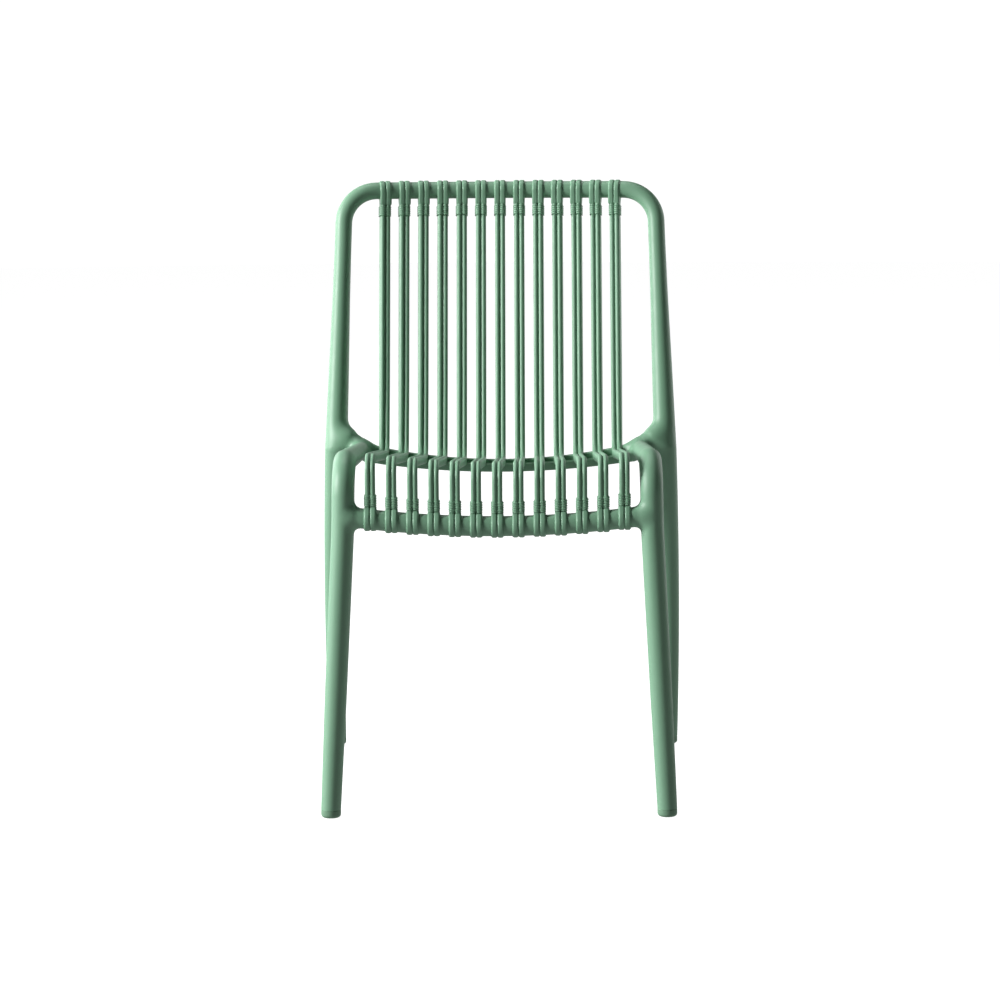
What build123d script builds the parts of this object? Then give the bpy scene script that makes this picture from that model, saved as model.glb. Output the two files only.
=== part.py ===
"""A stacking chair: a back hoop, two side frames, two seat rails and thirteen slats.

Millimetres, +Z up, the sitter faces -Y. The origin is on the floor, in the middle of the
chair's outer box.
"""

from build123d import *
import math
import os

os.makedirs("parts", exist_ok=True)

# ------------------------------------------------------------------ driving dimensions
front_foot = Vector(216.5, -260.5, 0)
rear_foot = Vector(237, 219.5, 0)
seat_joint = Vector(229, 145, 433)
knuckle = Vector(194, 140, 431)
knuckle_radius = 15.5
knuckle_reach = 16.0
top_rail_height = 787.3
top_rail_y = 259.7
top_rail_radius = 11.8
top_rail_bow_radius = 875.0
top_rail_half_arc = 168.0
hoop_corner_x = 217.9
hoop_corner_radius = 49.0

# Rear leg and upright: height, radius and sideways swell outside a straight axis
rear_leg_sections = [(10, 12.4, 0), (190, 14.2, 2.5), (433, 15.7, 0)]
upright_sections = [(433, 15.7), (540, 14.1), (640, 12.3)]

# Front leg, shoulder and side rail
shoulder_corner = Vector(193.5, -244.5, 457)
shoulder_radius = 42.0
side_rail_radius = 14.5
front_leg_sections = [(10, 12.8), (150, 14.1), (300, 14.4)]

# Rails under the slats
front_rail_y = -247.5
front_rail_height = 374.6
front_rail_radius = 13.0
seat_sag_radius = 1200.0
rear_rail_ledge = Vector(0, 118, 412.8)
rear_ledge_depth = 16.0
rear_bar_height = 10.8
rear_flange_depth = 12.0
rear_flange_height = 5.4

# Slats: two beads side by side, joined by a web
slat_count = 13
slat_pitch = 27.0
bead_width = 7.0
bead_spacing = 6.8
slat_depth = 12.8
web_depth = 8.6
seat_corner = Vector(0, 141, 413.9)
seat_corner_radius = 25.0
front_bend = Vector(0, -247.5, 452.0)
front_bend_radius = 18.0
slat_underside = 409.3
notch_width = 14.2

# Wraps round the rails, and the collars that bind them
wrap_clearance = 0.15
wrap_thickness = 1.7
wrap_bead_width = 7.8
wrap_bead_spacing = 7.6
shank_start = 1.1
wrap_gap_start = 22.0
wrap_gap_end = 30.0
collar_clearance = 0.1
collar_wall = 1.3
collar_length = 14.0
top_collar_distance = 23.0
front_collar_distance = 17.5

# Spigots, sockets and glides
front_spigot_radius = 7.0
front_spigot_reach = 2.0
side_spigot_radius = 6.0
side_spigot_gap = 8.0
rear_spigot_radius = 4.0
rear_rail_end_x = 175.0
rear_spigot_x = 190.0
rear_spigot_length = 18.5
socket_end_gap = 0.5
glide_height = 10.0
glide_edge = 1.5
plug_radius = 6.0
plug_length = 18.0
plug_clearance = 0.1


# ------------------------------------------------------------------ shared geometry
def seat_rise(x):
    """How far the dished seat rises at the distance x from the middle."""
    return seat_sag_radius - math.sqrt(seat_sag_radius**2 - x**2)


def top_rail_setback(x):
    """How far the bowed top rail comes forward at the distance x from the middle."""
    return top_rail_bow_radius - math.sqrt(top_rail_bow_radius**2 - x**2)


def top_rail_point(x):
    """Centre of the top rail at x."""
    return Vector(x, top_rail_y - top_rail_setback(x), top_rail_height)


def front_rail_point(x):
    """Centre of the front rail at x."""
    return Vector(x, front_rail_y, front_rail_height + seat_rise(x))


def along(start, end, height):
    """The point at a height on the straight line from start to end."""
    return start + (end - start) * ((height - start.Z) / (end.Z - start.Z))


def level(point):
    """A horizontal plane at a point."""
    return Plane(origin=point, x_dir=(1, 0, 0), z_dir=(0, 0, 1))


def across(point, direction):
    """A plane at a point, square to a direction and level along X."""
    return Plane(origin=point, x_dir=(1, 0, 0), z_dir=direction)


def twin_bead(extra=0.0):
    """The slat's section, in the open sketch: two rounded beads and the web between them."""
    with Locations((-bead_spacing / 2, 0), (bead_spacing / 2, 0)):
        SlotOverall(slat_depth + 2 * extra, bead_width + 2 * extra, rotation=90)
    Rectangle(bead_spacing, web_depth + 2 * extra)


def slat_x(index):
    """Sideways place of a slat, counted from 0 on the sitter's right."""
    return (index - (slat_count - 1) / 2) * slat_pitch


def foot_centre(foot, upper_end):
    """Centre of a leg where it sits on its glide."""
    return along(foot, upper_end, glide_height)


rail_end = top_rail_point(top_rail_half_arc)
rail_end_slope = top_rail_half_arc / (top_rail_bow_radius - top_rail_setback(top_rail_half_arc))
hoop_corner = rail_end + Vector(1, -rail_end_slope, 0) * (hoop_corner_x - top_rail_half_arc)
upright_direction = (hoop_corner - seat_joint).normalized()
corner_start = hoop_corner - upright_direction * (hoop_corner_radius + 6)
front_leg_direction = (shoulder_corner - front_foot).normalized()
side_rail_direction = (knuckle - shoulder_corner).normalized()
knuckle_direction = (knuckle - seat_joint).normalized()
front_leg_x = along(front_foot, shoulder_corner, front_rail_height).X
rear_spigot_y = rear_rail_ledge.Y + rear_ledge_depth + rear_flange_depth / 2
rear_spigot_height = rear_rail_ledge.Z - rear_flange_height / 2 + seat_rise(rear_spigot_x)


# ------------------------------------------------------------------ back hoop
def make_back_hoop():
    """Both rear legs, both uprights and the top rail, with sockets for the rails and plugs."""
    rail_socket = knuckle - side_rail_direction * side_spigot_gap
    with BuildPart() as hoop:
        for height, radius, swell in rear_leg_sections:
            centre = along(rear_foot, seat_joint, height) + Vector(swell, 0, 0)
            with BuildSketch(level(centre)):
                Circle(radius)
        loft()
        for height, radius in upright_sections:
            with BuildSketch(level(along(seat_joint, hoop_corner, height))):
                Circle(radius)
        with BuildSketch(across(corner_start, upright_direction)):
            Circle(top_rail_radius)
        loft()
        with BuildSketch(Plane(origin=seat_joint, z_dir=knuckle_direction)):
            Circle(knuckle_radius)
        extrude(amount=(knuckle - seat_joint).length + knuckle_reach)
        with BuildSketch(level(foot_centre(rear_foot, seat_joint))):
            Circle(plug_radius + plug_clearance)
        extrude(amount=plug_length + 1, mode=Mode.SUBTRACT)
        with BuildSketch(Plane(origin=rail_socket, z_dir=-side_rail_direction)):
            Circle(side_spigot_radius)
        extrude(amount=2 * side_spigot_gap, mode=Mode.SUBTRACT)
        socket_end = Vector(rear_spigot_x + socket_end_gap, rear_spigot_y, rear_spigot_height)
        with BuildSketch(Plane(origin=socket_end, x_dir=(0, 1, 0), z_dir=(-1, 0, 0))):
            Circle(rear_spigot_radius)
        extrude(amount=2 * side_spigot_gap, mode=Mode.SUBTRACT)
        mirror(about=Plane.YZ)
        with BuildLine() as top_line:
            half = FilletPolyline(corner_start, hoop_corner, rail_end, radius=hoop_corner_radius)
            ThreePointArc(rail_end, top_rail_point(0), top_rail_point(-top_rail_half_arc))
            mirror(half, about=Plane.YZ)
        with BuildSketch(across(corner_start, upright_direction)):
            Circle(top_rail_radius)
        sweep(path=top_line.wires()[0])
    return hoop.part


back_hoop = make_back_hoop()


# ------------------------------------------------------------------ side frames
def make_side_frame():
    """The side frame at +X: front leg, rounded shoulder, side rail and its spigot."""
    bend_start = shoulder_corner - front_leg_direction * (shoulder_radius + 8)
    bend_end = shoulder_corner + side_rail_direction * (shoulder_radius + 8)
    with BuildPart() as side_frame:
        for height, radius in front_leg_sections:
            with BuildSketch(level(along(front_foot, shoulder_corner, height))):
                Circle(radius)
        with BuildSketch(across(bend_start, front_leg_direction)):
            Circle(side_rail_radius)
        loft()
        with BuildLine() as bend_line:
            FilletPolyline(bend_start, shoulder_corner, bend_end, radius=shoulder_radius)
        with BuildSketch(across(bend_start, front_leg_direction)):
            Circle(side_rail_radius)
        sweep(path=bend_line.wires()[0])
        with BuildSketch(Plane(origin=bend_end, z_dir=side_rail_direction)):
            Circle(side_rail_radius)
        extrude(amount=(knuckle - bend_end).length - side_spigot_gap)
        add(back_hoop, mode=Mode.SUBTRACT)
        with BuildSketch(level(foot_centre(front_foot, shoulder_corner))):
            Circle(plug_radius + plug_clearance)
        extrude(amount=plug_length + 1, mode=Mode.SUBTRACT)
        socket_end = front_rail_point(front_leg_x + front_spigot_reach + socket_end_gap)
        with BuildSketch(Plane(origin=socket_end, x_dir=(0, 1, 0), z_dir=(-1, 0, 0))):
            Circle(front_spigot_radius)
        extrude(amount=3 * side_rail_radius, mode=Mode.SUBTRACT)
    return side_frame.part


left_side_frame = make_side_frame()
right_side_frame = mirror(left_side_frame, about=Plane.YZ)


# ------------------------------------------------------------------ rails under the slats
def make_front_rail():
    """The round rail that sags between the front legs, with a spigot left at each end."""
    end_x = front_leg_x + front_spigot_reach
    with BuildPart() as front_rail:
        with BuildLine() as rail_line:
            ThreePointArc(front_rail_point(-end_x), front_rail_point(0), front_rail_point(end_x))
        with BuildSketch(Plane(origin=rail_line.line @ 0, z_dir=rail_line.line % 0)):
            Circle(front_rail_radius)
        sweep()
        add(left_side_frame, mode=Mode.SUBTRACT)
        add(right_side_frame, mode=Mode.SUBTRACT)
    return front_rail.part


def make_rear_rail():
    """The stepped rail behind the seat: a ledge under the slats, a flange between them."""
    left_end = rear_rail_ledge + Vector(rear_rail_end_x, 0, seat_rise(rear_rail_end_x))
    right_end = rear_rail_ledge + Vector(-rear_rail_end_x, 0, seat_rise(rear_rail_end_x))
    with BuildPart() as rear_rail:
        with BuildLine() as rail_line:
            ThreePointArc(right_end, rear_rail_ledge, left_end)
        tangent = rail_line.line % 0
        with BuildSketch(Plane(origin=right_end, x_dir=(0, 1, 0), z_dir=tangent)) as section:
            with BuildLine():
                Polyline(
                    (0, 0),
                    (rear_ledge_depth, 0),
                    (rear_ledge_depth, rear_flange_height),
                    (rear_ledge_depth + rear_flange_depth, rear_flange_height),
                    (rear_ledge_depth + rear_flange_depth, -rear_bar_height),
                    (0, -rear_bar_height),
                    close=True,
                )
            make_face()
            fillet(section.vertices().sort_by(Axis.Y)[0:2], radius=3)
        sweep()
        for index in range(slat_count):
            x = slat_x(index)
            bottom = Vector(x, rear_rail_ledge.Y, slat_underside + seat_rise(x))
            with BuildSketch(level(bottom)):
                Rectangle(notch_width, 4 * rear_ledge_depth)
            extrude(amount=2 * rear_bar_height, mode=Mode.SUBTRACT)
        for end_x in (-rear_spigot_x, rear_spigot_x):
            spigot_end = Vector(end_x, rear_spigot_y, rear_spigot_height)
            with BuildSketch(Plane(origin=spigot_end, x_dir=(0, 1, 0), z_dir=(-end_x, 0, 0))):
                Circle(rear_spigot_radius)
            extrude(amount=rear_spigot_length)
    return rear_rail.part


# ------------------------------------------------------------------ slats
def make_wrap(centre, axis, shank, rail_radius):
    """The band round a rail: it starts behind the shank and goes all the way round to it."""
    radial = (shank - axis * shank.dot(axis)).normalized()
    start = radial.rotate(Axis((0, 0, 0), axis), wrap_gap_end)
    middle = rail_radius + wrap_clearance + wrap_thickness / 2
    with BuildPart() as band:
        with BuildSketch(Plane(origin=centre, x_dir=axis, z_dir=axis.cross(start))):
            with Locations((-wrap_bead_spacing / 2, middle), (wrap_bead_spacing / 2, middle)):
                RectangleRounded(wrap_bead_width, wrap_thickness, wrap_thickness * 0.45)
        revolve(axis=Axis(centre, axis), revolution_arc=360 - wrap_gap_end + wrap_gap_start)
    return band.part


def top_shank(x):
    """Direction of a slat's back run, downwards from the top rail."""
    return (seat_corner + Vector(x, 0, seat_rise(x)) - top_rail_point(x)).normalized()


def make_slat(x):
    """One slat: back run, seat run and front drop, hooked round both rails."""
    shift = Vector(x, 0, seat_rise(x))
    top = top_rail_point(x)
    bottom = front_rail_point(x)
    start = top + top_shank(x) * (top_rail_radius + wrap_clearance + shank_start)
    end = bottom + Vector(0, 0, front_rail_radius + wrap_clearance + shank_start)
    top_axis = Vector(1, -math.tan(math.asin(x / top_rail_bow_radius)), 0).normalized()
    front_axis = Vector(-1, 0, -math.tan(math.asin(x / seat_sag_radius))).normalized()
    top_wrap = make_wrap(top, top_axis, top_shank(x), top_rail_radius)
    front_wrap = make_wrap(bottom, front_axis, Vector(0, 0, 1), front_rail_radius)
    with BuildPart() as slat:
        with BuildLine() as run:
            FilletPolyline(
                start,
                seat_corner + shift,
                front_bend + shift,
                end,
                radius=[seat_corner_radius, front_bend_radius],
            )
        with BuildSketch(across(start, top_shank(x))):
            twin_bead()
        sweep(path=run.wires()[0])
        add(top_wrap)
        add(front_wrap)
    return slat.part


def make_collar(start, direction):
    """A sleeve round a slat, from start along direction."""
    outer_width = bead_spacing + bead_width + 2 * collar_wall
    outer_depth = slat_depth + 2 * collar_wall
    with BuildPart() as collar:
        with BuildSketch(across(start, direction)):
            RectangleRounded(outer_width, outer_depth, outer_depth * 0.42)
        extrude(amount=collar_length)
        with BuildSketch(across(start, direction)):
            twin_bead(collar_clearance)
        extrude(amount=collar_length, mode=Mode.SUBTRACT)
    return collar.part


# ------------------------------------------------------------------ glides
def make_glide(foot, upper_end, radius):
    """A foot cap with a plug that presses into the leg."""
    seat = foot_centre(foot, upper_end)
    with BuildPart() as glide:
        with BuildSketch(level(seat)):
            Circle(radius)
        extrude(amount=-glide_height)
        chamfer(glide.edges().sort_by(Axis.Z)[0], length=glide_edge)
        with BuildSketch(level(seat)):
            Circle(plug_radius)
        extrude(amount=plug_length)
    return glide.part


# ------------------------------------------------------------------ the whole chair
pieces = {
    "back_hoop": back_hoop,
    "left_side_frame": left_side_frame,
    "right_side_frame": right_side_frame,
    "front_rail": make_front_rail(),
    "rear_rail": make_rear_rail(),
}
for index in range(slat_count):
    x = slat_x(index)
    number = f"{index + 1:02d}"
    front_collar_start = front_rail_point(x) + Vector(0, 0, front_collar_distance)
    pieces[f"slat_{number}"] = make_slat(x)
    pieces[f"top_collar_{number}"] = make_collar(
        top_rail_point(x) + top_shank(x) * top_collar_distance, top_shank(x)
    )
    pieces[f"front_collar_{number}"] = make_collar(front_collar_start, Vector(0, 0, 1))
for place, foot, upper_end, radius in (
    ("front", front_foot, shoulder_corner, front_leg_sections[0][1]),
    ("rear", rear_foot, seat_joint, rear_leg_sections[0][1]),
):
    left_glide = make_glide(foot, upper_end, radius)
    pieces[f"{place}_left_glide"] = left_glide
    pieces[f"{place}_right_glide"] = mirror(left_glide, about=Plane.YZ)

for name, piece in pieces.items():
    piece.label = name
    export_step(piece, f"parts/{name}.step")
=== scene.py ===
"""The looks of the stacking chair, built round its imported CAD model.

Sizes are in millimetres, with the chair's own driving dimensions; meshes are written in metres.
+Z is up, the sitter faces -Y and their left is +X. The frame is one moulding in looks: its pieces
are cut from a single blended surface, so that their joints run into each other without a step.
"""

import math

import bmesh
import bpy
import numpy as np
from mathutils import Matrix, Vector


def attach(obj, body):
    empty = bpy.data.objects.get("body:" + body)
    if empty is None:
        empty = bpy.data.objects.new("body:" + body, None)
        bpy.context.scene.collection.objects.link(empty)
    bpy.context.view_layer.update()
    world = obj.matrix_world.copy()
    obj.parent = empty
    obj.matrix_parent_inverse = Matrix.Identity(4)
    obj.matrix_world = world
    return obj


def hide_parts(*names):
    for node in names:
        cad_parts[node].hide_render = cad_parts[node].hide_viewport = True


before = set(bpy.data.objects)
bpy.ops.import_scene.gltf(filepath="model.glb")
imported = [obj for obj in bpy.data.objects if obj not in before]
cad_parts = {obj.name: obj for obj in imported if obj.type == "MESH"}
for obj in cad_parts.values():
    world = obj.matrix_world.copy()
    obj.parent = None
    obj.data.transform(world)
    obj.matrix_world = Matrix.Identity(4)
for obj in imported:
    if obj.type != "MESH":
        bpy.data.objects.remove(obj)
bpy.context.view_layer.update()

MM = 0.001
BODY = "root"

# Distance given to points well away from a member, and how far out a member is measured
FAR = 1000.0
REACH = 62.0


def point(x, y, z):
    return np.array((x, y, z), float)


SIDEWAYS = point(1, 0, 0)


# ------------------------------------------------------------------ driving dimensions
front_foot = point(216.5, -260.5, 0)
front_leg_knee = point(197.2, -247.4, 374)
rear_foot = point(237, 219.5, 0)
seat_joint = point(229, 145, 433)
knuckle = point(194, 140, 431)
shoulder_corner = point(196.0, -244.5, 457)
shoulder_radius = 42.0
front_knee_radius = 900.0
top_rail_height = 787.3
top_rail_y = 259.7
top_rail_radius = 11.8
top_rail_bow_radius = 875.0
top_rail_half_arc = 168.0
hoop_corner_x = 217.9
hoop_corner_radius = 49.0

# How far the members run on below the floor and past the chair's middle, before they are cut
below_floor = 20.0
past_middle = 40.0

# Height, radius and sideways swell of the rear leg; height and radius of the other members
rear_leg_sections = [(10, 12.4, 0), (190, 14.2, 2.5), (433, 15.7, 0)]
upright_sections = [(433, 15.7), (540, 14.1), (640, 12.3), (708, 11.8)]
front_leg_sections = [(-below_floor, 12.6), (10, 12.8), (150, 14.1), (300, 14.5), (400, 14.7)]
side_rail_radius = 14.5
knuckle_radius = 11.5

# The short tapering arm that carries each side rail on its upright: two centres with radii
gusset_sections = ((211, 143, 445, 14.0), (177, 138.5, 424.5, 7.5))

front_rail_y = -247.5
front_rail_height = 374.6
front_rail_radius = 13.0
front_rail_sag_radius = 1400.0
seat_sag_radius = 1200.0
rear_rail_y = 118.0
rear_rail_height = 412.8
rear_ledge_depth = 16.0
rear_rail_depth = 28.0
rear_bar_height = 10.8
flange_height = 4.8
flange_end_rise = 5.6
rear_rail_edge = 1.8

slat_count = 13
slat_pitch = 27.0
bead_radius = 3.6
bead_spacing = 7.1
bead_straight = 5.8
seat_corner = point(0, 141, 413.9)
seat_corner_radius = 25.0
front_bend = point(0, front_rail_y, 452.0)
front_bend_radius = 18.0

# How much further than the bowed rail a slat turns on the back, and where that turn changes:
# before and past the seat corner, before the front bend, and before the slat's lower end
back_twist = 1.6
turn_changes = (120.0, 20.0, 60.0, 30.0)

# The slats' width at the front edge, as a share, reached this far behind the front bend
front_taper = 0.93
front_taper_reach = 60.0

wrap_thickness = 2.0
wrap_width = 15.8
wrap_groove = 1.5
wrap_bite = 0.3
shank_half_depth = 6.4
top_shank_length = 22.2
front_shank_length = 16.8
collar_length = 14.0
top_collar_distance = 23.0
front_collar_distance = 17.5
ring_pitch = 3.1
ring_height = 0.8
ring_width = 0.45
top_sleeve = 0.7
front_sleeve = 0.5
neck_depth = 0.13
neck_width = 0.9
top_neck_offset = neck_width * 0.8
front_neck_offset = neck_width * 0.5

glide_height = 10.0
glide_gap = 0.25
glide_edge_radius = 4.5
glide_recess = 0.35
glide_rim_edge = 0.4
glide_plug_inset = 1.4
glide_plug_height = 3.0

# How widely the members of the moulded frame run into each other, and how far short of a
# member's axis the next one stops, so that the blend doesn't swell the far side
front_rail_blend = 10.0
side_rail_blend = 14.0
gusset_blend = 20.0
rear_rail_blend = 12.0
front_rail_setback = 14.0
side_rail_setback = 5.0
rear_rail_end = 186.0

# How finely the members' and the slats' paths are drawn
path_spacing = 12.0
path_turn = math.radians(2)
slat_spacing = 9.0
slat_turn = math.radians(5)

# The camera: degrees to turn, metres, and millimetres of lens
camera_yaw, camera_pitch, camera_roll = -0.704, 7.055, -0.364
camera_place = (0.0540, -4.3605, 0.9172)
camera_lens = 117.17


# ------------------------------------------------------------------ curves and sections
def unit(vector):
    return vector / np.linalg.norm(vector)


def seat_rise(x):
    """How far the dished seat rises at the distance x from the middle."""
    return seat_sag_radius - np.sqrt(seat_sag_radius**2 - np.square(x))


def top_rail_point(x):
    """Centre of the bowed top rail at x."""
    setback = top_rail_bow_radius - math.sqrt(top_rail_bow_radius**2 - x**2)
    return point(x, top_rail_y - setback, top_rail_height)


def front_rail_point(x):
    """Centre of the sagging front rail at x."""
    rise = front_rail_sag_radius - np.sqrt(front_rail_sag_radius**2 - np.square(x))
    return point(x, front_rail_y, front_rail_height + rise)


def slat_x(index):
    """Sideways place of a slat, counted from 0 on the sitter's right."""
    return (index - (slat_count - 1) / 2) * slat_pitch


def run_points(start, end, spacing):
    """Evenly spaced points after start, up to end."""
    count = max(1, math.ceil(np.linalg.norm(end - start) / spacing))
    return [start + (end - start) * k / count for k in range(1, count + 1)]


def rounded_path(corners, radii, spacing, turn_step):
    """Points along straight runs joined by tangent arcs, with a radius for each inner corner."""
    path = [corners[0]]
    for before, corner, after, radius in zip(corners, corners[1:], corners[2:], radii):
        into = unit(corner - before)
        out = unit(after - corner)
        turn = math.acos(into @ out)
        start = corner - into * radius * math.tan(turn / 2)
        centre = corner + unit(out - into) * radius / math.cos(turn / 2)
        path += run_points(path[-1], start, spacing)
        count = math.ceil(turn / turn_step)
        for angle in np.linspace(0, turn, count + 1)[1:]:
            arm = (start - centre) * math.cos(angle) + into * radius * math.sin(angle)
            path.append(centre + arm)
    path += run_points(path[-1], corners[-1], spacing)
    return np.array(path)


def tangents(path):
    """Unit direction of a path at each of its points."""
    steps = np.gradient(path, axis=0)
    return steps / np.linalg.norm(steps, axis=1, keepdims=True)


def lengths(path):
    """Distance along a path to each of its points."""
    steps = np.linalg.norm(np.diff(path, axis=0), axis=1)
    return np.concatenate(([0], np.cumsum(steps)))


def sweep(path, side_axis, outline):
    """A closed mesh: the outline, drawn along the side axis and square to it, at each path point.

    side_axis is one vector or one for each point, and outline is one loop or one for each point.
    """
    along = tangents(path)
    side = np.broadcast_to(side_axis, path.shape)
    side = side - along * np.sum(side * along, axis=1, keepdims=True)
    side = side / np.linalg.norm(side, axis=1, keepdims=True)
    out = np.cross(along, side)
    loops = np.broadcast_to(outline, (len(path), *np.shape(outline)[-2:]))
    verts = path[:, None] + loops[..., :1] * side[:, None] + loops[..., 1:] * out[:, None]
    return verts.reshape(-1, 3), capped_faces(len(path), loops.shape[1])


def ring_faces(rings, count, closed):
    """Quads between neighbouring rings of count points each, back to the first if closed."""
    faces = []
    for ring in range(rings if closed else rings - 1):
        here = ring * count
        there = (ring + 1) % rings * count
        for k in range(count):
            after = (k + 1) % count
            faces.append([here + k, here + after, there + after, there + k])
    return faces


def capped_faces(rings, count):
    """Quads between neighbouring rings, and one face across the first ring and the last."""
    last = (rings - 1) * count
    ends = [list(range(count))[::-1], list(range(last, last + count))]
    return ring_faces(rings, count, closed=False) + ends


def joined(parts):
    """Several (vertices, faces) as one."""
    verts = []
    faces = []
    total = 0
    for part_verts, part_faces in parts:
        verts.append(part_verts)
        faces += [[total + k for k in face] for face in part_faces]
        total += len(part_verts)
    return np.concatenate(verts), faces


def mirrored(part):
    """The same mesh on the other side of the chair."""
    verts, faces = part
    return verts * (-1, 1, 1), [face[::-1] for face in faces]


def circle(radii, count=28):
    """One circular loop for each radius."""
    turn = np.linspace(0, 2 * math.pi, count, endpoint=False)
    loop = np.stack((np.cos(turn), np.sin(turn)), axis=1)
    return np.asarray(radii, float)[:, None, None] * loop


# ------------------------------------------------------------------ the moulded frame's members
def fitted(sections, column, heights):
    """A smooth curve through one column of a table of sections, at each height."""
    table = np.array(sections, float)
    return np.polyval(np.polyfit(table[:, 0], table[:, column], len(table) - 1), heights)


def between(sections, heights):
    """Radius at each height, from a table of heights and radii."""
    table = np.array(sections, float)
    return np.interp(heights, table[:, 0], table[:, 1])


def hoop_bar():
    """Path and radii of the left half of the back hoop, from below the foot to past the middle."""
    heights = np.linspace(-below_floor, seat_joint[2], 40)
    leg = rear_foot + (seat_joint - rear_foot) * (heights / seat_joint[2])[:, None]
    leg[:, 0] += fitted(rear_leg_sections, 2, heights)
    leg_radii = fitted(rear_leg_sections, 1, heights)
    rail_end = top_rail_point(top_rail_half_arc)
    slope = top_rail_half_arc / (top_rail_bow_radius - (top_rail_y - rail_end[1]))
    corner = rail_end + point(1, -slope, 0) * (hoop_corner_x - top_rail_half_arc)
    corners = [seat_joint, corner, rail_end]
    upper = rounded_path(corners, [hoop_corner_radius], path_spacing, path_turn)
    bow_xs = np.linspace(top_rail_half_arc, -past_middle, 22)[1:]
    bow = np.array([top_rail_point(x) for x in bow_xs])
    path = np.concatenate((leg[:-1], upper, bow))
    upper_radii = between(upright_sections, upper[:, 2])
    bow_radii = np.full(len(bow), top_rail_radius)
    return path, np.concatenate((leg_radii[:-1], upper_radii, bow_radii))


def side_bar(setback):
    """Path and radii of the left side frame: front leg, shoulder and side rail."""
    foot = front_foot + (front_foot - front_leg_knee) * (below_floor / front_leg_knee[2])
    end = knuckle - unit(knuckle - shoulder_corner) * setback
    corners = [foot, front_leg_knee, shoulder_corner, end]
    path = rounded_path(corners, [front_knee_radius, shoulder_radius], path_spacing, path_turn)
    radii = between(front_leg_sections, path[:, 2])
    bend_end = shoulder_corner[1] + shoulder_radius
    rail_radii = np.interp(path[:, 1], [bend_end, knuckle[1]], [side_rail_radius, knuckle_radius])
    radii = np.where(path[:, 1] > bend_end, rail_radii, radii)
    return path, radii


def gusset_bar():
    """Path and radii of the left arm between upright and side rail."""
    table = np.array(gusset_sections, float)
    steps = np.linspace(0, 1, 6)[:, None]
    table = table[0] + (table[1] - table[0]) * steps
    return table[:, :3], table[:, 3]


def front_bar(setback):
    """Path and radii of the left half of the front rail, to past the middle."""
    end = front_leg_knee[0] - setback
    path = np.array([front_rail_point(x) for x in np.linspace(-past_middle, end, 24)])
    return path, np.full(len(path), front_rail_radius)


def flange_top(x):
    """Height of the rear rail's flange above its ledge, which grows towards the uprights."""
    return flange_height + flange_end_rise * np.square(x / top_rail_half_arc)


def rail_outline(x):
    """The rear rail's stepped section at x: distances behind and above its ledge's front edge."""
    top = flange_top(x)
    corners = [
        (0, -rear_bar_height),
        (0, 0),
        (rear_ledge_depth, 0),
        (rear_ledge_depth, top),
        (rear_rail_depth, top),
        (rear_rail_depth, -rear_bar_height),
    ]
    inner_corner = 2
    loop = []
    for k, corner in enumerate(corners):
        here = np.array(corner, float)
        before = unit(corners[k - 1] - here)
        after = unit(corners[(k + 1) % len(corners)] - here)
        edge = rear_rail_edge / 2 if k == inner_corner else rear_rail_edge
        centre = here + (before + after) * edge
        for angle in np.linspace(0, math.pi / 2, 6):
            arm = after * edge * math.cos(angle) + before * edge * math.sin(angle)
            loop.append(centre - arm)
    return np.array(loop)[::-1]


def rear_rail_sweep(half_length):
    """The rear rail as a clean sweep, with half its length on each side of the middle."""
    xs = np.linspace(-half_length, half_length, 61)
    ys = np.full(len(xs), rear_rail_y)
    path = np.stack((xs, ys, rear_rail_height + seat_rise(xs)), axis=1)
    loops = np.array([rail_outline(x) for x in xs])
    return sweep(path, point(0, 1, 0), loops)


# ------------------------------------------------------------------ the blended surface
def bar_distance(points, bar):
    """Distance from each point to a round bar, or FAR where it is well away."""
    best = np.full(len(points), FAR)
    for start, end, start_radius, end_radius in zip(bar[0], bar[0][1:], bar[1], bar[1][1:]):
        window = np.abs(end - start) / 2 + REACH
        near = np.flatnonzero((np.abs(points - (start + end) / 2) < window).all(axis=1))
        if len(near) == 0:
            continue
        step = end - start
        offset = points[near] - start
        share = np.clip(offset @ step / (step @ step), 0, 1)
        radius = start_radius + share * (end_radius - start_radius)
        distance = np.linalg.norm(offset - share[:, None] * step, axis=1) - radius
        best[near] = np.minimum(best[near], distance)
    return best


def rounded_box(u, v, low, high, edge):
    """Distance in a plane to a box with rounded corners."""
    middle = (np.array(low) + np.array(high)) / 2
    half = (np.array(high) - np.array(low)) / 2 - edge
    du = np.abs(u - middle[0]) - half[0]
    dv = np.abs(v - middle[1]) - half[1]
    outside = np.hypot(np.maximum(du, 0), np.maximum(dv, 0))
    return outside + np.minimum(np.maximum(du, dv), 0) - edge


def rear_rail_distance(points):
    """Distance to the stepped rear rail, which ends inside the hoop's arms."""
    x = points[:, 0]
    y = points[:, 1] - rear_rail_y
    z = points[:, 2] - rear_rail_height - seat_rise(x)
    low = (0, -rear_bar_height)
    ledge = rounded_box(y, z, low, (rear_rail_depth, 0), rear_rail_edge)
    flange_z = np.where(z > 0, z + flange_height - flange_top(x), z)
    flange_low = (rear_ledge_depth, -rear_bar_height)
    flange = rounded_box(y, flange_z, flange_low, (rear_rail_depth, flange_height), rear_rail_edge)
    section = np.minimum(ledge, flange)
    past_end = x - rear_rail_end
    outside = np.hypot(np.maximum(section, 0), np.maximum(past_end, 0))
    return outside + np.minimum(np.maximum(section, past_end), 0)


def blended(first, second, width):
    """The smaller of two distances, rounded where they meet."""
    share = np.clip(0.5 + 0.5 * (second - first) / width, 0, 1)
    return second + (first - second) * share - width * share * (1 - share)


hoop = hoop_bar()
gusset = gusset_bar()
side = side_bar(side_rail_setback)
front = front_bar(front_rail_setback)


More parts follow.
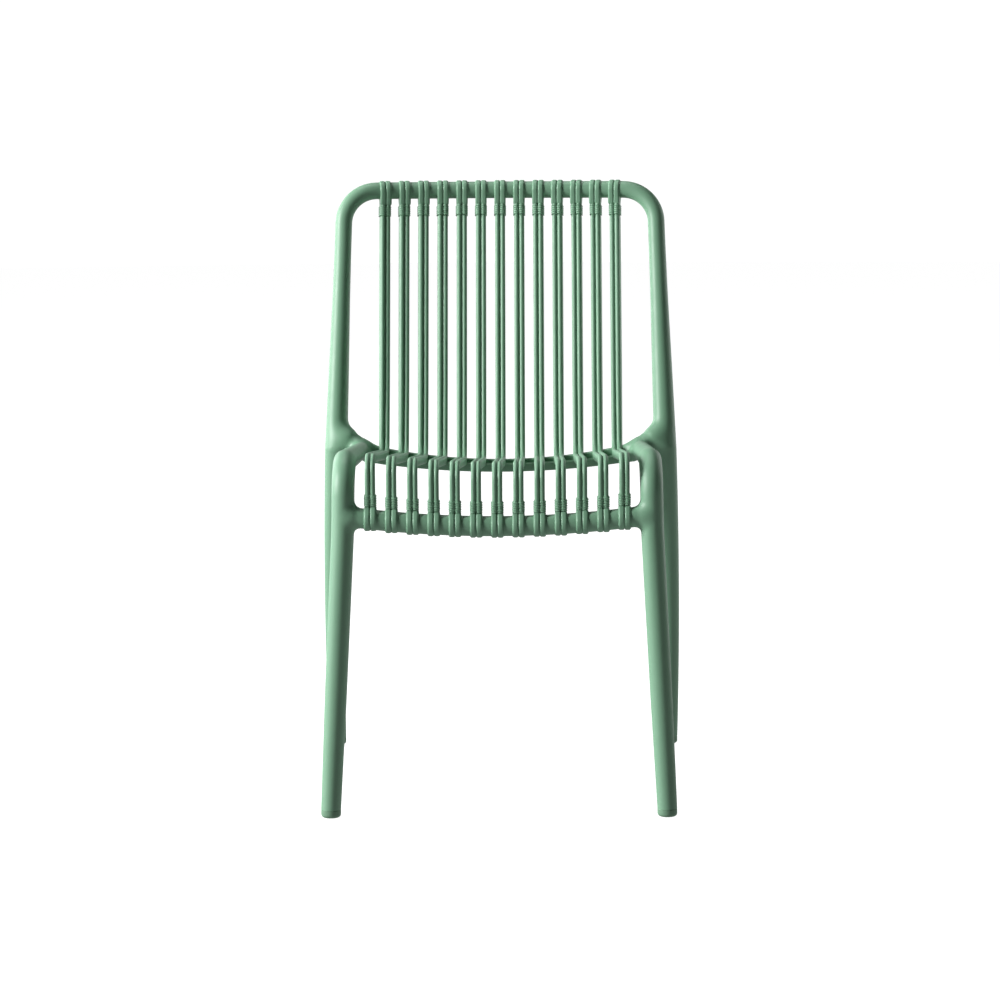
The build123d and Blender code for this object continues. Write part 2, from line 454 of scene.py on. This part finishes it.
def frame_distance(points):
    """Distance to the blended frame, which is the same on both sides of the chair."""
    folded = points.copy()
    folded[:, 0] = np.abs(folded[:, 0])
    joint = blended(bar_distance(folded, hoop), bar_distance(folded, gusset), gusset_blend)
    joint = blended(joint, bar_distance(folded, side), side_rail_blend)
    joint = blended(joint, bar_distance(folded, front), front_rail_blend)
    return blended(joint, rear_rail_distance(folded), rear_rail_blend)


def distance_and_gradient(points):
    """The frame's distance and gradient, from four samples round each point."""
    reach = 0.15
    corners = np.array([(1, 1, 1), (1, -1, -1), (-1, 1, -1), (-1, -1, 1)], float)
    samples = [frame_distance(points + corner * reach) for corner in corners]
    gradient = sum(s[:, None] * corner for s, corner in zip(samples, corners)) / (4 * reach)
    return sum(samples) / 4, gradient


def settle(points, rounds):
    """Moves points onto the blended surface."""
    longest = 6.0
    least_slope = 0.2
    for _ in range(rounds):
        distance, gradient = distance_and_gradient(points)
        slope = np.maximum(np.sum(gradient**2, axis=1), least_slope)
        move = np.clip(distance / slope, -longest, longest)
        points = points - gradient * move[:, None]
    return points


# ------------------------------------------------------------------ Blender meshes
def new_mesh(name, verts, faces):
    """A mesh with smooth faces, from millimetres."""
    mesh = bpy.data.meshes.new(name)
    mesh.from_pydata((verts * MM).tolist(), [], faces)
    mesh.polygons.foreach_set("use_smooth", [True] * len(mesh.polygons))
    mesh.update()
    return mesh


def new_object(mesh):
    made = bpy.data.objects.new(mesh.name, mesh)
    bpy.context.scene.collection.objects.link(made)
    return made


def mesh_points(mesh):
    """A mesh's vertices, in millimetres."""
    flat = np.empty(len(mesh.vertices) * 3, np.float32)
    mesh.vertices.foreach_get("co", flat)
    return flat.reshape(-1, 3).astype(float) / MM


def remeshed(mesh, cell):
    """The outer skin of a mesh, in even cells."""
    made = new_object(mesh)
    modifier = made.modifiers.new("skin", "REMESH")
    modifier.mode = "VOXEL"
    modifier.voxel_size = cell * MM
    graph = bpy.context.evaluated_depsgraph_get()
    skin = bpy.data.meshes.new_from_object(made.evaluated_get(graph))
    bpy.data.objects.remove(made)
    return skin


def finish_piece(mesh, nodes, material, sharp_degrees=None):
    """Puts a piece on the chair in place of CAD nodes and material."""
    if sharp_degrees is not None:
        mesh.set_sharp_from_angle(angle=math.radians(sharp_degrees))
    mesh.materials.clear()
    mesh.materials.append(material)
    piece = new_object(mesh)
    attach(piece, BODY)
    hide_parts(*nodes)


# ------------------------------------------------------------------ materials
def moulded_plastic(name, dark, light, roughness, grain_depth):
    """Satin moulded polypropylene: faintly cloudy colour, uneven gloss and a fine eroded grain."""
    noise_low, noise_high = 0.3, 0.7
    gloss_spread = 0.035
    material = bpy.data.materials.new(name)
    material.use_nodes = True
    nodes = material.node_tree.nodes
    links = material.node_tree.links
    shader = nodes["Principled BSDF"]
    shader.inputs["IOR"].default_value = 1.5
    coordinates = nodes.new("ShaderNodeTexCoord")

    def noise(scale, detail):
        node = nodes.new("ShaderNodeTexNoise")
        node.inputs["Scale"].default_value = scale
        node.inputs["Detail"].default_value = detail
        links.new(coordinates.outputs["Object"], node.inputs["Vector"])
        return node

    cloud = noise(7.0, 4.0)
    tint = nodes.new("ShaderNodeValToRGB")
    tint.color_ramp.elements[0].position = noise_low
    tint.color_ramp.elements[0].color = (*dark, 1)
    tint.color_ramp.elements[1].position = noise_high
    tint.color_ramp.elements[1].color = (*light, 1)
    links.new(cloud.outputs["Fac"], tint.inputs["Fac"])
    links.new(tint.outputs["Color"], shader.inputs["Base Color"])

    flow = noise(38.0, 5.0)
    gloss = nodes.new("ShaderNodeMapRange")
    gloss.inputs["From Min"].default_value = noise_low
    gloss.inputs["From Max"].default_value = noise_high
    gloss.inputs["To Min"].default_value = roughness - gloss_spread
    gloss.inputs["To Max"].default_value = roughness + gloss_spread
    links.new(flow.outputs["Fac"], gloss.inputs["Value"])
    links.new(gloss.outputs["Result"], shader.inputs["Roughness"])

    grain = noise(1500.0, 2.0)
    fine = nodes.new("ShaderNodeBump")
    fine.inputs["Strength"].default_value = 0.35
    fine.inputs["Distance"].default_value = grain_depth * MM
    links.new(grain.outputs["Fac"], fine.inputs["Height"])
    peel = noise(160.0, 1.0)
    broad = nodes.new("ShaderNodeBump")
    broad.inputs["Strength"].default_value = 0.25
    broad.inputs["Distance"].default_value = grain_depth * 3 * MM
    links.new(peel.outputs["Fac"], broad.inputs["Height"])
    links.new(fine.outputs["Normal"], broad.inputs["Normal"])
    links.new(broad.outputs["Normal"], shader.inputs["Normal"])
    return material


frame_material = moulded_plastic(
    "frame_moulding", (0.166, 0.326, 0.211), (0.180, 0.349, 0.227), 0.48, 0.05
)
slat_material = moulded_plastic(
    "slat_moulding", (0.166, 0.328, 0.212), (0.181, 0.352, 0.229), 0.46, 0.04
)
glide_material = moulded_plastic(
    "glide_moulding", (0.140, 0.268, 0.172), (0.158, 0.292, 0.190), 0.52, 0.08
)


# ------------------------------------------------------------------ frame pieces
seam_rear_rail = 165.5
seam_front_rail = 175.0
leg_end = glide_height + glide_gap
side_direction = unit(knuckle - shoulder_corner)
seam_side_rail = knuckle - side_direction * 64

# Boxes that each hold one kind of cut, by their low and high corners on the chair's left
seam_margin = 8.0
foot_zone = ((-300, -300, -40), (300, 300, 30))
side_seam_zone = ((160, 55, 400), (230, 97, 480))
rear_seam_zone = ((seam_rear_rail - seam_margin, 90, 380), (seam_rear_rail + seam_margin, 175, 480))
front_seam_zone = (
    (seam_front_rail - seam_margin, -280, 350),
    (seam_front_rail + seam_margin, -200, 405),
)


def blended_skin():
    """The whole frame as one even mesh on the blended surface."""
    bars = (
        (hoop, (0, 1, 0)),
        (gusset, (0, 1, 0)),
        (side_bar(0), (1, 0, 0)),
        (front_bar(0), (0, 1, 0)),
    )
    halves = [sweep(path, side_axis, circle(radii)) for (path, radii), side_axis in bars]
    solids = halves + [mirrored(half) for half in halves] + [rear_rail_sweep(rear_rail_end)]
    rough_cell, fine_cell = 3.0, 2.0
    first = remeshed(new_mesh("rough", *joined(solids)), rough_cell)
    first.vertices.foreach_set("co", (settle(mesh_points(first), 4) * MM).ravel())
    first.update()
    second = remeshed(first, fine_cell)
    second.vertices.foreach_set("co", (settle(mesh_points(second), 3) * MM).ravel())
    second.update()
    return second


def cut(bm, place, direction, low, high):
    """Cuts the faces inside a box along a plane, all in millimetres."""
    inside = []
    for face in bm.faces:
        middle = face.calc_center_median() / MM
        if all(a < m < b for a, m, b in zip(low, middle, high)):
            inside.append(face)
    edges = {edge for face in inside for edge in face.edges}
    verts = {vert for face in inside for vert in face.verts}
    geometry = inside + list(edges) + list(verts)
    bmesh.ops.bisect_plane(
        bm, geom=geometry, dist=1e-7, plane_co=Vector(place) * MM, plane_no=Vector(direction)
    )


def level_with(zone, y, z):
    """Whether a point lies within a zone's depth and height, at any distance sideways."""
    (_, low_y, low_z), (_, high_y, high_z) = zone
    return low_y < y < high_y and low_z < z < high_z


def owner(x, y, z):
    """Name of the frame piece that a point of the skin belongs to, or None where it is dropped."""
    if z < leg_end:
        return None
    if abs(x) < seam_rear_rail and level_with(rear_seam_zone, y, z):
        return None
    if abs(x) < seam_front_rail and level_with(front_seam_zone, y, z):
        return "front_rail"
    if (point(abs(x), y, z) - seam_side_rail) @ side_direction < 0:
        return "left_side_frame" if x > 0 else "right_side_frame"
    return "back_hoop"


def make_frame_pieces():
    """Cuts the blended skin into the hoop, side frames and rails, and closes each cut."""
    whole = bmesh.new()
    whole.from_mesh(blended_skin())
    cut(whole, (0, 0, leg_end), (0, 0, 1), *foot_zone)
    seams = (
        (seam_side_rail, side_direction, side_seam_zone),
        (SIDEWAYS * seam_rear_rail, SIDEWAYS, rear_seam_zone),
        (SIDEWAYS * seam_front_rail, SIDEWAYS, front_seam_zone),
    )
    for sign in (-1, 1):
        flip = (sign, 1, 1)
        for place, direction, (low, high) in seams:
            low_x, high_x = sorted((sign * low[0], sign * high[0]))
            cut(whole, place * flip, direction * flip, (low_x, *low[1:]), (high_x, *high[1:]))
    whole.faces.ensure_lookup_table()
    owners = [owner(*(face.calc_center_median() / MM)) for face in whole.faces]
    for name in ("back_hoop", "left_side_frame", "right_side_frame", "front_rail"):
        part = whole.copy()
        part.faces.ensure_lookup_table()
        others = [face for face, owned in zip(part.faces, owners) if owned != name]
        bmesh.ops.delete(part, geom=others, context="FACES")
        bmesh.ops.holes_fill(part, edges=[e for e in part.edges if e.is_boundary], sides=0)
        mesh = bpy.data.meshes.new(name + "_moulding")
        part.to_mesh(mesh)
        part.free()
        points = mesh_points(mesh)
        _, normals = distance_and_gradient(points)
        mesh.polygons.foreach_set("use_smooth", [True] * len(mesh.polygons))
        mesh.normals_split_custom_set_from_vertices(normals.tolist())
        finish_piece(mesh, [name], frame_material)
    whole.free()


def make_rear_rail():
    """The stepped rail, which runs into the hoop's arms just outside the outermost slats."""
    mesh = new_mesh("rear_rail_moulding", *rear_rail_sweep(seam_rear_rail))
    finish_piece(mesh, ["rear_rail"], frame_material, sharp_degrees=50)


# ------------------------------------------------------------------ slats
def twin_outline(extra=0.0):
    """Two rounded beads side by side, with the deep groove between them on both faces."""
    radius = bead_radius + extra
    start = math.acos(-bead_spacing / 2 / radius)
    turn = np.linspace(-start, start, 27)
    shift = np.where(turn < 0, -bead_straight / 2, bead_straight / 2)
    u = bead_spacing / 2 + radius * np.cos(turn)
    v = radius * np.sin(turn) + shift
    bead = np.stack((u, v), axis=1)
    return np.concatenate((bead, -bead))


def slat_axes(path, x):
    """Side axes of a slat: it turns with the bowed back and the dished seat, and ends level."""
    along = tangents(path)
    sideways = np.broadcast_to(SIDEWAYS, path.shape)
    out = np.cross(along, sideways)
    length = lengths(path)
    back_turn = math.asin(x / top_rail_bow_radius) * back_twist
    seat_turn = math.asin(x / seat_sag_radius)
    back_length = np.linalg.norm(top_rail_point(x) - seat_corner - point(x, 0, seat_rise(x)))
    drop_start = length[-1] - (front_bend[2] - front_rail_height)
    before_corner, past_corner, before_bend, before_end = turn_changes
    places = [
        0,
        back_length - before_corner,
        back_length + past_corner,
        drop_start - before_bend,
        length[-1] - before_end,
    ]
    turn = np.interp(length, places, [back_turn, back_turn, seat_turn, seat_turn, 0])
    return sideways * np.cos(turn)[:, None] + out * np.sin(turn)[:, None]


def top_shank(x):
    """Direction of a slat's back run, downwards from the top rail."""
    return unit(seat_corner + point(x, 0, seat_rise(x)) - top_rail_point(x))


def eye(centre, axis, shank, rail_radius, shank_length):
    """The loop that a slat makes round a rail: a thin doubled band, thickening into the shank."""
    shank = unit(shank - axis * (shank @ axis))
    side_axis = np.cross(axis, shank)
    outer = rail_radius + wrap_thickness
    corner = math.atan2(shank_half_depth, shank_length)
    touch = corner + math.acos(outer / math.hypot(shank_half_depth, shank_length))
    turn = np.linspace(0, 2 * math.pi, 96, endpoint=False)
    bend = np.minimum(turn, 2 * math.pi - turn)
    steepest = 1.4
    flank = outer / np.cos(np.clip(touch - bend, 0, steepest))
    reach = np.where(bend < corner, shank_length / np.cos(np.minimum(bend, corner)), flank)
    across = np.linspace(1, -1, 33)
    crown = 0.5
    fall = np.power((np.abs(across) - crown) / crown, 4)
    inner = rail_radius - wrap_bite
    rise = reach[:, None] - wrap_groove * fall
    width = np.full((len(turn), 1), wrap_width / 2)
    u = np.concatenate((width * across, width * [-1, 1]), axis=1)
    v = np.concatenate((rise, np.full((len(turn), 2), inner)), axis=1)
    radial = np.cos(turn)[:, None] * shank + np.sin(turn)[:, None] * side_axis
    verts = centre + u[..., None] * axis + v[..., None] * radial[:, None]
    count = verts.shape[1]
    return verts.reshape(-1, 3), ring_faces(len(turn), count, closed=True)


def refined(path, places):
    """A path with extra points close to some places on its straight runs."""
    length = lengths(path)
    steps = [length]
    half_span, closest = 2.5, 0.05
    for place in places:
        nearest = np.argmin(np.linalg.norm(path - place, axis=1))
        along = tangents(path)[nearest]
        centre = length[nearest] + (place - path[nearest]) @ along
        steps.append(centre + np.linspace(-half_span, half_span, 13))
    steps = np.unique(np.clip(np.concatenate(steps), 0, length[-1]))
    steps = steps[np.concatenate(([True], np.diff(steps) > closest))]
    return np.stack([np.interp(steps, length, path[:, k]) for k in range(3)], axis=1)


def slat_mesh(x):
    """One slat: back run, seat run and front drop, with an eye round each rail."""
    shift = point(x, 0, seat_rise(x))
    top = top_rail_point(x)
    bottom = front_rail_point(x)
    shank = top_shank(x)
    start = top + shank * (top_rail_radius + wrap_thickness)
    end = bottom + point(0, 0, front_rail_radius + wrap_thickness)
    corners = [start, seat_corner + shift, front_bend + shift, end]
    path = rounded_path(corners, [seat_corner_radius, front_bend_radius], slat_spacing, slat_turn)
    necks = (
        top + shank * (top_collar_distance + collar_length + top_neck_offset),
        bottom + point(0, 0, front_collar_distance - front_neck_offset),
    )
    path = refined(path, necks)
    away = np.min([np.linalg.norm(path - neck, axis=1) for neck in necks], axis=0)
    waist = 1 - neck_depth * np.exp(-np.square(away / neck_width))
    seat_span = [front_bend[1] + front_taper_reach, seat_corner[1]]
    scale = waist * np.interp(path[:, 1], seat_span, [front_taper, 1])
    run = sweep(path, slat_axes(path, x), scale[:, None, None] * twin_outline())
    top_axis = unit(point(1, -math.tan(math.asin(x / top_rail_bow_radius)), 0))
    top_eye = eye(top, top_axis, shank, top_rail_radius, top_shank_length)
    front_eye = eye(bottom, SIDEWAYS, point(0, 0, 1), front_rail_radius, front_shank_length)
    return joined([run, top_eye, front_eye])


def collar_mesh(start, direction, turn, sleeve):
    """A close sleeve with fine raised rings round a slat."""
    steps = np.linspace(0, collar_length, 71)
    path = start + steps[:, None] * direction
    ring = np.mod(steps, ring_pitch) - ring_pitch / 2
    extra = sleeve + ring_height * np.exp(-np.square(ring / ring_width))
    extra[[0, -1]] = 0.0
    loops = np.array([twin_outline(e) for e in extra])
    out = np.cross(direction, SIDEWAYS)
    side_axis = SIDEWAYS * math.cos(turn) + out * math.sin(turn)
    return sweep(path, side_axis, loops)


def make_slats():
    """The thirteen slats, each with a collar below its top eye and one above its front eye."""
    down = point(0, 0, -1)
    for index in range(slat_count):
        x = slat_x(index)
        number = f"{index + 1:02d}"
        back_turn = math.asin(x / top_rail_bow_radius) * back_twist
        shank = top_shank(x)
        top_start = top_rail_point(x) + shank * top_collar_distance
        front_start = front_rail_point(x) - down * (front_collar_distance + collar_length)
        meshes = {
            f"slat_{number}": slat_mesh(x),
            f"top_collar_{number}": collar_mesh(top_start, shank, back_turn, top_sleeve),
            f"front_collar_{number}": collar_mesh(front_start, down, 0.0, front_sleeve),
        }
        for name, part in meshes.items():
            mesh = new_mesh(name + "_moulding", *part)
            finish_piece(mesh, [name], slat_material, sharp_degrees=55)


# ------------------------------------------------------------------ glides
def glide_mesh(foot, upper_end, radius):
    """A foot cap turned about its upright axis, rounded below, with a plug into the leg."""
    centre = foot + (upper_end - foot) * (glide_height / upper_end[2])
    corner = radius - glide_edge_radius
    profile = [(corner * 0.5, glide_recess), (corner * 0.8, 0)]
    for angle in np.linspace(-math.pi / 2, 0, 9):
        rise = glide_edge_radius * (1 + math.sin(angle))
        profile.append((corner + glide_edge_radius * math.cos(angle), rise))
    profile += [(radius, glide_height - glide_rim_edge), (radius - glide_rim_edge, glide_height)]
    plug_radius = radius - glide_plug_inset
    profile += [(plug_radius, glide_height), (plug_radius, glide_height + glide_plug_height)]
    radii = [r for r, _ in profile]
    path = np.array([(centre[0], centre[1], z) for _, z in profile])
    count = 48
    verts = path[:, None] + np.pad(circle(radii, count), ((0, 0), (0, 0), (0, 1)))
    return verts.reshape(-1, 3), capped_faces(len(path), count)


def make_glides():
    """The four foot caps."""
    feet = (
        ("front", front_foot, front_leg_knee, between(front_leg_sections, glide_height)),
        ("rear", rear_foot, seat_joint, rear_leg_sections[0][1]),
    )
    for place, foot, upper_end, radius in feet:
        left = glide_mesh(foot, upper_end, radius)
        for name, part in (("left", left), ("right", mirrored(left))):
            node = f"{place}_{name}_glide"
            mesh = new_mesh(node + "_cap", *part)
            finish_piece(mesh, [node], glide_material, sharp_degrees=40)


# ------------------------------------------------------------------ stage, light and camera
def glow(name, strength, diffuse):
    """A white material that shines by itself and, if diffuse is above 0, also takes shadows."""
    material = bpy.data.materials.new(name)
    material.use_nodes = True
    nodes = material.node_tree.nodes
    shader = nodes["Principled BSDF"]
    shader.inputs["Base Color"].default_value = (diffuse, diffuse, diffuse, 1)
    shader.inputs["Roughness"].default_value = 0.9
    shader.inputs["Specular IOR Level"].default_value = 0.0
    shader.inputs["Emission Color"].default_value = (1, 1, 1, 1)
    shader.inputs["Emission Strength"].default_value = strength
    return material


def stage_object(name, bm, material):
    """Something round the chair that isn't part of it."""
    mesh = bpy.data.meshes.new(name)
    bm.to_mesh(mesh)
    bm.free()
    mesh.materials.append(material)
    made = new_object(mesh)
    return made


def make_stage():
    """A pale floor in a white surround for the camera, and a dimmer floor that lights the chair."""
    surround_radius, floor_radius, bounce_radius = 14.0, 13.9, 13.8
    bounce_drop = 0.001
    floor_shape = bmesh.new()
    bmesh.ops.create_circle(floor_shape, cap_ends=True, segments=96, radius=floor_radius)
    floor = stage_object("floor", floor_shape, glow("pale_floor", 0.985, 0.3))
    floor.visible_diffuse = False
    floor.visible_glossy = False
    surround_shape = bmesh.new()
    bmesh.ops.create_uvsphere(
        surround_shape, u_segments=64, v_segments=32, radius=surround_radius
    )
    surround = stage_object("surround", surround_shape, glow("white_surround", 1.05, 0.0))
    surround.visible_diffuse = False
    surround.visible_glossy = False
    surround.visible_shadow = False
    bounce_shape = bmesh.new()
    bmesh.ops.create_circle(bounce_shape, cap_ends=True, segments=96, radius=bounce_radius)
    bmesh.ops.translate(bounce_shape, verts=bounce_shape.verts, vec=(0, 0, -bounce_drop))
    bounce = stage_object("bounce", bounce_shape, glow("floor_bounce", 0.42, 0.0))
    bounce.visible_camera = False
    bounce.visible_shadow = False


def softbox(name, place, aim, width, height, watts):
    """A rectangular studio light, not seen by the camera itself."""
    data = bpy.data.lights.new(name, "AREA")
    data.shape = "RECTANGLE"
    data.size = width
    data.size_y = height
    data.energy = watts
    light = bpy.data.objects.new(name, data)
    bpy.context.scene.collection.objects.link(light)
    light.location = place
    light.rotation_euler = (Vector(aim) - Vector(place)).to_track_quat("-Z", "Y").to_euler()
    light.visible_camera = False
    return light


def make_lights():
    """A distant key and a wide wall on the sitter's right, a card behind the left, a dim studio."""
    seat = (0, 0, 0.45)
    softbox("key", (-6.25, -1.95, 3.0), seat, 1.6, 3.0, 760)
    softbox("left_wall", (-3.6, 1.7, 1.5), seat, 5.6, 3.4, 190)
    softbox("overhead", (-0.3, 0.6, 2.9), seat, 1.6, 1.2, 20)
    softbox("card", (2.1, 1.3, 0.8), seat, 1.8, 2.2, 20)
    backdrop = softbox("backdrop", (0, 4.5, 1.4), (0, 0, 1.0), 9, 3.4, 70)
    backdrop.visible_diffuse = False
    world = bpy.data.worlds.new("studio")
    world.use_nodes = True
    nodes = world.node_tree.nodes
    links = world.node_tree.links
    direction = nodes.new("ShaderNodeTexCoord")
    split = nodes.new("ShaderNodeSeparateXYZ")
    links.new(direction.outputs["Generated"], split.inputs["Vector"])
    brightness = nodes.new("ShaderNodeMapRange")
    brightness.inputs["From Min"].default_value = 0.0
    brightness.inputs["From Max"].default_value = 0.7
    brightness.inputs["To Min"].default_value = 0.25
    brightness.inputs["To Max"].default_value = 0.15
    links.new(split.outputs["Z"], brightness.inputs["Value"])
    links.new(brightness.outputs["Result"], nodes["Background"].inputs["Strength"])
    bpy.context.scene.world = world
    bpy.context.scene.view_settings.view_transform = "Standard"


def make_camera():
    """A long lens in front of the chair, a little above it and all but square on."""
    angles = (camera_yaw, camera_pitch, camera_roll)
    yaw, pitch, roll = (math.radians(angle) for angle in angles)
    level = math.cos(pitch)
    forward = Vector((math.sin(yaw) * level, math.cos(yaw) * level, -math.sin(pitch)))
    right = Vector((math.cos(yaw), -math.sin(yaw), 0))
    up = right.cross(forward)
    camera_x = right * math.cos(roll) + up * math.sin(roll)
    camera_y = up * math.cos(roll) - right * math.sin(roll)
    data = bpy.data.cameras.new("camera")
    data.lens = camera_lens
    data.sensor_width = 36
    data.clip_end = 60
    camera = bpy.data.objects.new("camera", data)
    bpy.context.scene.collection.objects.link(camera)
    turned = Matrix((camera_x, camera_y, -forward)).transposed().to_4x4()
    camera.matrix_world = Matrix.Translation(camera_place) @ turned
    bpy.context.scene.camera = camera


# ------------------------------------------------------------------ the chair
make_frame_pieces()
make_rear_rail()
make_slats()
make_glides()
make_stage()
make_lights()
make_camera()
